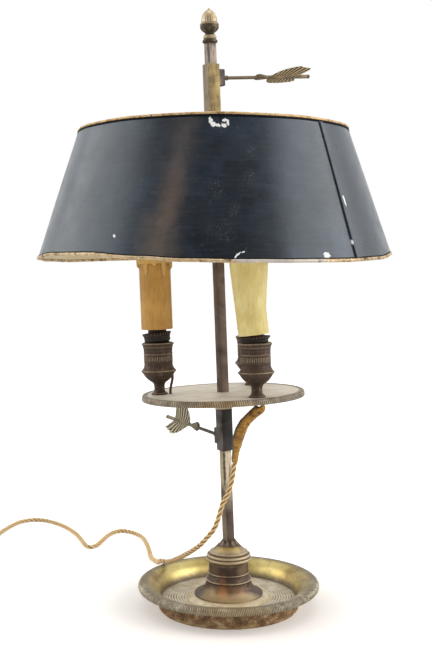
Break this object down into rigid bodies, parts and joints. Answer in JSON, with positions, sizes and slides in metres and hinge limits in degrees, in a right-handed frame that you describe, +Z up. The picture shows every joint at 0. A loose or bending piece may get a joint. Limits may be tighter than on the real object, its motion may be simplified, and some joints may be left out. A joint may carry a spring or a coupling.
{
  "type": "bouillotte lamp",
  "caption": "Table lamp with a dished brass foot, a square stem, a sliding tray of candle lights and a sliding painted metal shade, each locked by an arrow-shaped screw key.",
  "frame": {"origin": "centre of the foot's underside, on the table", "axes": "+Z up, -Y towards the front, +X to the right as seen from the front; the stem leans 2.15 degrees towards -X"},
  "size_m": [0.5362, 0.5216, 0.6066],
  "materials": {
    "old_brass": "aged, satin, mottled with brown",
    "dark_brass": "dark brown patina, satin",
    "pale_brass": "pale, worn bright",
    "foot_brown": "rough cast, reddish brown",
    "weight_iron": "rough",
    "shade_paint": "gloss blue-black enamel",
    "gilt": "worn gilding",
    "holder_brown": "matt red-brown",
    "amber_sleeve": "waxy amber",
    "pale_sleeve": "waxy pale yellow",
    "bulb_glass": "frosted",
    "wire_brown": "dull insulation",
    "cord_fabric": "twisted gold thread",
    "cover_fabric": "ochre braid",
    "plug_brown": "dark brown moulding",
    "pin_brass": "bright"
  },
  "bodies": {
    "base": {"foot_ring": "foot_brown", "base_dish": "old_brass", "base_weight": "weight_iron", "base_washer": "dark_brass", "base_nut": "dark_brass", "pedestal_flange": "old_brass", "pedestal": "dark_brass", "pedestal_collar": "old_brass", "stem": "dark_brass", "cord_drop": "cord_fabric", "cord_floor": "cord_fabric", "cord_coil": "cord_fabric", "cord_tie": "plug_brown", "cord_tail": "cord_fabric", "plug_body": "plug_brown", "plug_pins": "pin_brass"},
    "finial": {"finial_flange": "dark_brass", "finial_ring": "pale_brass", "finial_cup": "old_brass", "acorn_nut": "pale_brass"},
    "shade": {"shade_sleeve": "old_brass", "shade_boss": "dark_brass", "shade_frame": "old_brass", "shade_body": "shade_paint", "shade_top_wire": "gilt", "shade_bottom_wire": "gilt", "shade_seam": "shade_paint"},
    "shade_key": {"shade_key": "dark_brass", "shade_key_feathers": "old_brass"},
    "tray": {"tray_plate": "old_brass", "tray_collar": "old_brass", "tray_sleeve": "dark_brass", "tray_boss": "dark_brass", "left_cup": "old_brass", "right_cup": "old_brass", "back_cup": "old_brass", "cup_screws": "dark_brass", "left_drip_ring": "dark_brass", "right_drip_ring": "dark_brass", "back_drip_ring": "dark_brass", "left_lamp_holder": "holder_brown", "right_lamp_holder": "holder_brown", "back_lamp_holder": "holder_brown", "left_candle": "amber_sleeve", "right_candle": "pale_sleeve", "back_candle": "pale_sleeve", "left_bulb": "bulb_glass", "right_bulb": "bulb_glass", "back_bulb": "bulb_glass", "bulb_caps": "pin_brass", "left_feed_wire": "wire_brown", "right_feed_wire": "wire_brown", "back_feed_wire": "wire_brown", "cord_gland": "dark_brass", "cord_cover": "cover_fabric"},
    "tray_key": {"tray_key": "dark_brass", "tray_key_feathers": "old_brass"}
  },
  "joints": [
    {"name": "finial_turn", "type": "hinge", "parent": "base", "child": "finial", "pos_m": [-0.01898, 0, 0.57264], "axis": [-0.0375, 0, 0.9993], "continuous": true},
    {"name": "shade_slide", "type": "slide", "parent": "base", "child": "shade", "axis": [-0.0375, 0, 0.9993], "range_m": [-0.02, 0.02]},
    {"name": "shade_key_turn", "type": "hinge", "parent": "shade", "child": "shade_key", "pos_m": [-0.00603, 0.00716, 0.53911], "axis": [0.8483, 0.5216, 0.0912], "range_deg": [0, 360]},
    {"name": "tray_slide", "type": "slide", "parent": "base", "child": "tray", "axis": [-0.0375, 0, 0.9993], "range_m": [-0.09, 0.03], "deforming": ["cord_drop"]},
    {"name": "tray_key_turn", "type": "hinge", "parent": "tray", "child": "tray_key", "pos_m": [-0.01128, 0.01168, 0.17665], "axis": [-0.5234, 0.8511, 0.0397], "range_deg": [0, 360]}
  ]
}
